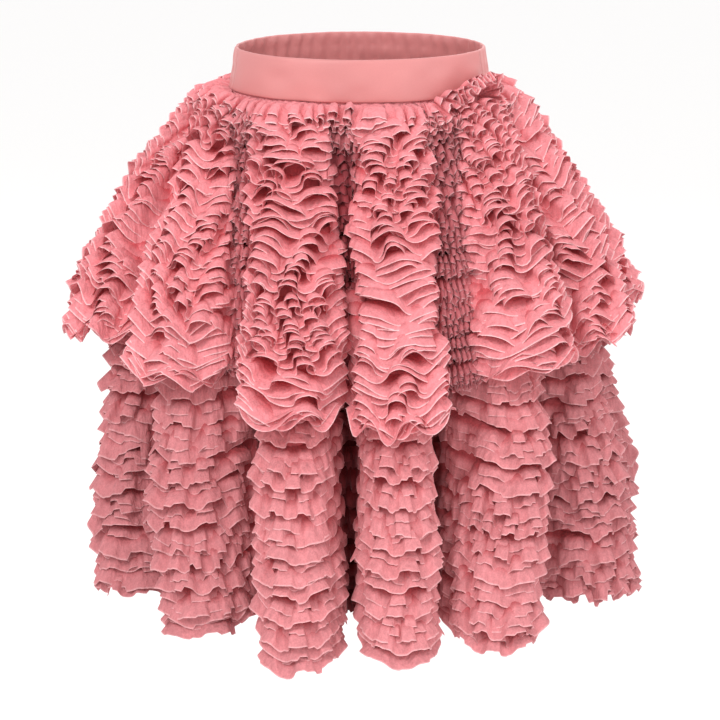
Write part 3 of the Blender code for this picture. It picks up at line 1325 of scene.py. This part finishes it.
@dataclass
class RuffledTier:
    """All the strips of one skirt, each a few rows of two plies.

    first_row is the number that its random values start from, and first_plain says that its top
    row is the plain strip under the waistband.
    """

    tier: Tier
    works: RuffleWorks
    rows_per_strip: int
    gathers: TierGathers
    first_row: int
    finish: bpy.types.Material
    first_plain: bool = False
    unevenly_sewn: float = 0.3

    def strip(self, number: int) -> bpy.types.Object:
        """Builds one strip.

        Args:
            number: which strip, from 0 at the top.

        Returns:
            The finished piece, riding on the root body.
        """
        tier = self.tier
        spacing = (1.0 - tier.first_ruffle) / (tier.strips * self.rows_per_strip)
        cloth = ClothMesh()
        for inner in range(self.rows_per_strip):
            row_number = number * self.rows_per_strip + inner
            own = np.random.default_rng(50 + self.first_row + row_number)
            uneven = own.uniform(-self.unevenly_sewn, self.unevenly_sewn)
            sewn_at = tier.first_ruffle + spacing * max(0.0, row_number + uneven)
            plain = self.first_plain and row_number == 0
            row = self.works.row(tier, sewn_at, self.gathers, self.first_row + row_number, plain)
            for ply in Ply:
                grid, values = self.works.ply(row, ply)
                cloth.add_grid(grid, values)
        name = f"{tier.name}_strip_{number + 1}"
        piece = cloth.build(name)
        put_on(piece, self.finish, f"{tier.name}_ruffle_{number + 1}")
        return piece

    def build(self) -> list[bpy.types.Object]:
        """Builds all its strips."""
        return [self.strip(number) for number in range(self.tier.strips)]


# Panels and waistband


@dataclass
class ClothPanel:
    """The thin cloth under the strips, front or back, gathered at the waist.

    shade_at and shades say how dark its pink is painted on the way down: painted shade,
    darkest down the middle, where the panel shows deep between the rows.
    """

    tier: Tier
    side: str
    start: float
    end: float
    form: SkirtForm
    finish: bpy.types.Material
    seam: float = 0.003
    columns_per_flute: int = 40
    rows: int = 34
    pucker: float = 0.0009
    hidden_hem: float = 0.012
    puckers_per_flute: float = 9.0
    shade_at: tuple[float, ...] = (0.0, 0.07, 0.18, 0.80, 1.0)
    shades: tuple[float, ...] = (0.7, 0.7, 0.4, 0.4, 0.6)

    def build(self) -> bpy.types.Object:
        """Builds the panel.

        Returns:
            The finished piece, riding on the root body.
        """
        columns = round((self.end - self.start) * self.columns_per_flute)
        place = np.linspace(self.start + self.seam, self.end - self.seam, columns + 1)
        lines = []
        down = np.linspace(0.0, self.tier.hang_to - self.hidden_hem, self.rows + 1)
        for share in down:
            spot = self.form.point(self.tier, place, share)
            outward, _ = self.form.slopes(self.tier, place, np.full(place.shape, share))
            fading = (1.0 - share) ** 3
            wobble = PUCKERING.at(place, 30.0 * share)
            pleats = np.sin(TURN * self.puckers_per_flute * place + 2.0 * wobble)
            inset = -CLOTH_WALL / 2 + self.pucker * (fading * pleats - fading)
            lines.append(spot + outward * inset[:, None])
        grid = np.array(lines)
        cloth = ClothMesh()
        across = 2.0 * np.abs(place - np.round(place))
        down = down[:, None]
        # painted shade: the panel's slits between flutes are darkened, nearly black
        slit = smooth_step((across - 0.5) / 0.3)[None, :] * smooth_step(down / 0.12)
        # painted shade: the panel's pink darkens down its middle
        edge = np.interp(down, self.shade_at, self.shades)
        cloth.add_grid(grid, {"edge": edge, "slit": slit})
        name = f"{self.tier.name}_{self.side}_panel"
        piece = cloth.build(name)
        put_on(piece, self.finish, f"{self.tier.name}_{self.side}")
        return piece


# The waistband's side seams in degrees round the body, and the turns of its two folds in radians.
BAND_LEFT = -78.0
BAND_RIGHT = 75.0
TOP_FOLD = (0.785, 1.571, 2.356)
FOOT_FOLD = (3.927, 4.712, 5.498)


@dataclass
class BandPiece:
    """A stretch of waistband: a folded band of crepe, smooth or drawn up by elastic."""

    side: str
    start: float
    end: float
    form: SkirtForm
    finish: bpy.types.Material
    gathers: int
    gather_depth: float
    wall: float = 0.003
    softness: float = 0.0014
    top_half_width: float = 0.1195
    columns: int = 260
    face_rows: int = 14
    back_rows: int = 8

    def section(self) -> list[tuple[float, float]]:
        """The wall's rounded section.

        Returns:
            Pairs of how far out of the wall's middle, in half walls, and how far up, in half
            heights, from the foot of the outer face round to the foot of the inner one.
        """
        half = self.wall / BAND_HEIGHT
        straight = 1.0 - half
        rows, back = self.face_rows, self.back_rows
        outer = [(1.0, blend(-straight, straight, n / rows)) for n in range(rows + 1)]
        over = [(math.cos(a), straight + half * math.sin(a)) for a in TOP_FOLD]
        inner = [(-1.0, blend(straight, -straight, n / back)) for n in range(back + 1)]
        under = [(math.cos(a), -straight + half * math.sin(a)) for a in FOOT_FOLD]
        return outer + over + inner + under

    def build(self) -> bpy.types.Object:
        """Builds this stretch of the band.

        Returns:
            The finished piece, riding on the root body.
        """
        gap = math.degrees(SEAM_GAP / 2 / self.form.band_base_half_width)
        angle = np.radians(np.linspace(self.start + gap, self.end - gap, self.columns + 1))
        run = np.linspace(0.0, 1.0, self.columns + 1)
        ends = smooth_step(np.minimum(run, 1.0 - run) / 0.04)
        place = np.degrees(angle) / 360.0 * len(FLUTES)
        lines = []
        for out, up in self.section():
            width = blend(self.form.band_base_half_width, self.top_half_width, 0.5 + 0.5 * up)
            radius = ellipse_radius(width, width * self.form.waist_depth_share, angle)
            soft = self.softness * SWAYING.at(place, 2.0 + 1.6 * up) * ends
            drawn = self.draw(run, place, up) * ends
            radius = radius + out * self.wall / 2 + soft - drawn
            lines.append(around(radius, angle, np.full(angle.shape, up * BAND_HEIGHT / 2)))
        grid = np.array(lines)
        cloth = ClothMesh()
        even = {"edge": np.full((1, 1), 0.5), "slit": np.zeros((1, 1))}
        cloth.add_grid(grid, even, closed_rows=True)
        name = f"waistband_{self.side}_piece"
        piece = cloth.build(name)
        self.close_ends(piece, len(lines))
        put_on(piece, self.finish, f"waistband_{self.side}")
        return piece

    def draw(self, run: np.ndarray, place: np.ndarray, up: float) -> np.ndarray:
        """Draws the cloth in where the elastic holds it.

        Args:
            run: how far along the band each column is, from 0 to 1.
            place: where it is round the skirt, in flutes.
            up: how high in the band, from -1 to 1.

        Returns:
            How far in, in metres.
        """
        if not self.gathers:
            return np.zeros(run.shape)
        uneven = ELASTIC.at(place, 4.0 + up)
        waves = np.sin(TURN * self.gathers * run + 1.6 * uneven)
        held = 0.65 + 0.35 * math.cos(3.0 * math.pi * up)
        return self.gather_depth * (0.5 + 0.5 * waves) * held * (1.0 + 0.4 * uneven)

    def close_ends(self, piece: bpy.types.Object, section_count: int) -> None:
        """Closes the two ends of the folded band with a face each.

        Args:
            piece: the band's object.
            section_count: how many points go round its section.
        """
        shape = bmesh.new()
        shape.from_mesh(piece.data)
        shape.verts.ensure_lookup_table()
        columns = self.columns + 1
        first = [shape.verts[row * columns] for row in range(section_count)]
        last = [shape.verts[row * columns + columns - 1] for row in range(section_count)]
        shape.faces.new(first)
        shape.faces.new(list(reversed(last)))
        bmesh.ops.recalc_face_normals(shape, faces=shape.faces)
        shape.to_mesh(piece.data)
        shape.free()


# Studio


@dataclass(frozen=True)
class SoftLamp:
    """One soft square lamp: where it stands, where it aims, its side and its power."""

    name: str
    place: tuple[float, float, float]
    aim: tuple[float, float, float]
    side: float
    power: float


@dataclass(frozen=True)
class Studio:
    """A plain pale floor, soft lamps and the camera."""

    floor_z: float = -1.0
    floor_half: float = 30.0
    floor_colour: tuple[float, float, float] = (0.97, 0.97, 0.97)
    sky: float = 1.0
    camera_place: tuple[float, float, float] = (0.0, -2.6, 0.42)
    camera_aim: tuple[float, float, float] = (0.0, 0.0, -0.296)
    lens: float = 135.0
    lamps: tuple[SoftLamp, ...] = (
        SoftLamp("key", (-1.1, -2.3, 1.9), (0.0, 0.0, -0.2), 1.1, 42.0),
        SoftLamp("fill", (1.9, -1.7, 0.5), (0.0, 0.0, -0.3), 1.6, 12.0),
        SoftLamp("rim", (0.6, 2.2, 1.6), (0.0, 0.0, -0.2), 1.4, 14.0),
    )

    def aimed(self, thing: bpy.types.Object, place: Sequence[float], aim: Sequence[float]) -> None:
        """Stands a lamp or the camera in its place and turns it to its aim.

        Args:
            thing: the lamp or camera.
            place: where it stands.
            aim: what it faces.
        """
        thing.location = place
        facing = Vector(aim) - Vector(place)
        thing.rotation_euler = facing.to_track_quat("-Z", "Y").to_euler()
        bpy.context.scene.collection.objects.link(thing)

    def build(self) -> None:
        """Sets up the floor, the sky, the lamps and the camera."""
        scene = bpy.context.scene
        scene.view_settings.view_transform = "Standard"
        world = bpy.data.worlds.new("studio_sky")
        world.use_nodes = True
        sky = world.node_tree.nodes["Background"]
        sky.inputs["Color"].default_value = (1.0, 0.99, 0.985, 1.0)
        sky.inputs["Strength"].default_value = self.sky
        scene.world = world
        half = self.floor_half
        mesh = bpy.data.meshes.new("floor")
        corners = [(-half, -half), (half, -half), (half, half), (-half, half)]
        mesh.from_pydata([(x, y, self.floor_z) for x, y in corners], [], [(0, 1, 2, 3)])
        floor = bpy.data.objects.new("floor", mesh)
        scene.collection.objects.link(floor)
        paper = {"Base Color": (*self.floor_colour, 1.0), "Roughness": 0.9}
        mesh.materials.append(new_finish("pale_floor", paper)[0])
        floor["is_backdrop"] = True
        for lamp in self.lamps:
            light = bpy.data.lights.new(lamp.name, "AREA")
            light.size = lamp.side
            light.energy = lamp.power
            self.aimed(bpy.data.objects.new(lamp.name, light), lamp.place, lamp.aim)
        lens = bpy.data.cameras.new("camera")
        lens.lens = self.lens
        lens.sensor_width = 36.0
        lens.clip_end = 100.0
        camera = bpy.data.objects.new("camera", lens)
        self.aimed(camera, self.camera_place, self.camera_aim)
        scene.camera = camera
        LOG.info("studio ready")


@dataclass
class TulleSkirt:
    """The whole skirt: waistband, panels and strips."""

    form: SkirtForm

    def build(self) -> None:
        """Builds every piece in the order in which a maker would."""
        tulle = TulleFinish("pink_tulle").make()
        # the panel tulle's slit shade paints the panel's slits nearly black
        panel_tulle = TulleFinish("pink_panel_tulle", slit_shade=(0.06, 0.02, 0.022)).make()
        # the underskirt's tulle is a darker copy, partly painted shade under the overskirt; its slit
        # shade paints its slits dark
        under_tulle = TulleFinish(
            "pink_under_tulle",
            deep=(0.50, 0.095, 0.106),
            body=(0.67, 0.244, 0.260),
            pale=(0.85, 0.455, 0.470),
            slit_shade=(0.16, 0.07, 0.075),
        ).make()
        crepe = CrepeFinish("pink_crepe").make()
        round_to = BAND_LEFT + 360.0
        BandPiece("front", BAND_LEFT, BAND_RIGHT, self.form, crepe, 0, 0.0).build()
        BandPiece("back", BAND_RIGHT, round_to, self.form, crepe, 26, 0.0022, columns=520).build()
        turn = LEFT_SEAM + len(FLUTES)
        for tier in (OVERSKIRT, UNDERSKIRT):
            ClothPanel(tier, "front", LEFT_SEAM, RIGHT_SEAM, self.form, panel_tulle).build()
            ClothPanel(tier, "back", RIGHT_SEAM, turn, self.form, panel_tulle).build()
        works = RuffleWorks(self.form)
        RuffledTier(OVERSKIRT, works, 3, OVER_GATHERS, 0, tulle, first_plain=True).build()
        RuffledTier(UNDERSKIRT, works, 2, UNDER_GATHERS, 40, under_tulle).build()


def main(cad_box: Sequence[Sequence[float]]) -> None:
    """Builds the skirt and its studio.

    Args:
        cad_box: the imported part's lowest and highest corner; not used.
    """
    logging.basicConfig(level=logging.INFO, format="%(name)s: %(message)s")
    TulleSkirt(SkirtForm()).build()
    Studio().build()
    faces = sum(len(piece.data.polygons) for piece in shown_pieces())
    LOG.info("%d faces in all", faces)


if __name__ == "__main__":
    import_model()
    main([list(corner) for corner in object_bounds()])
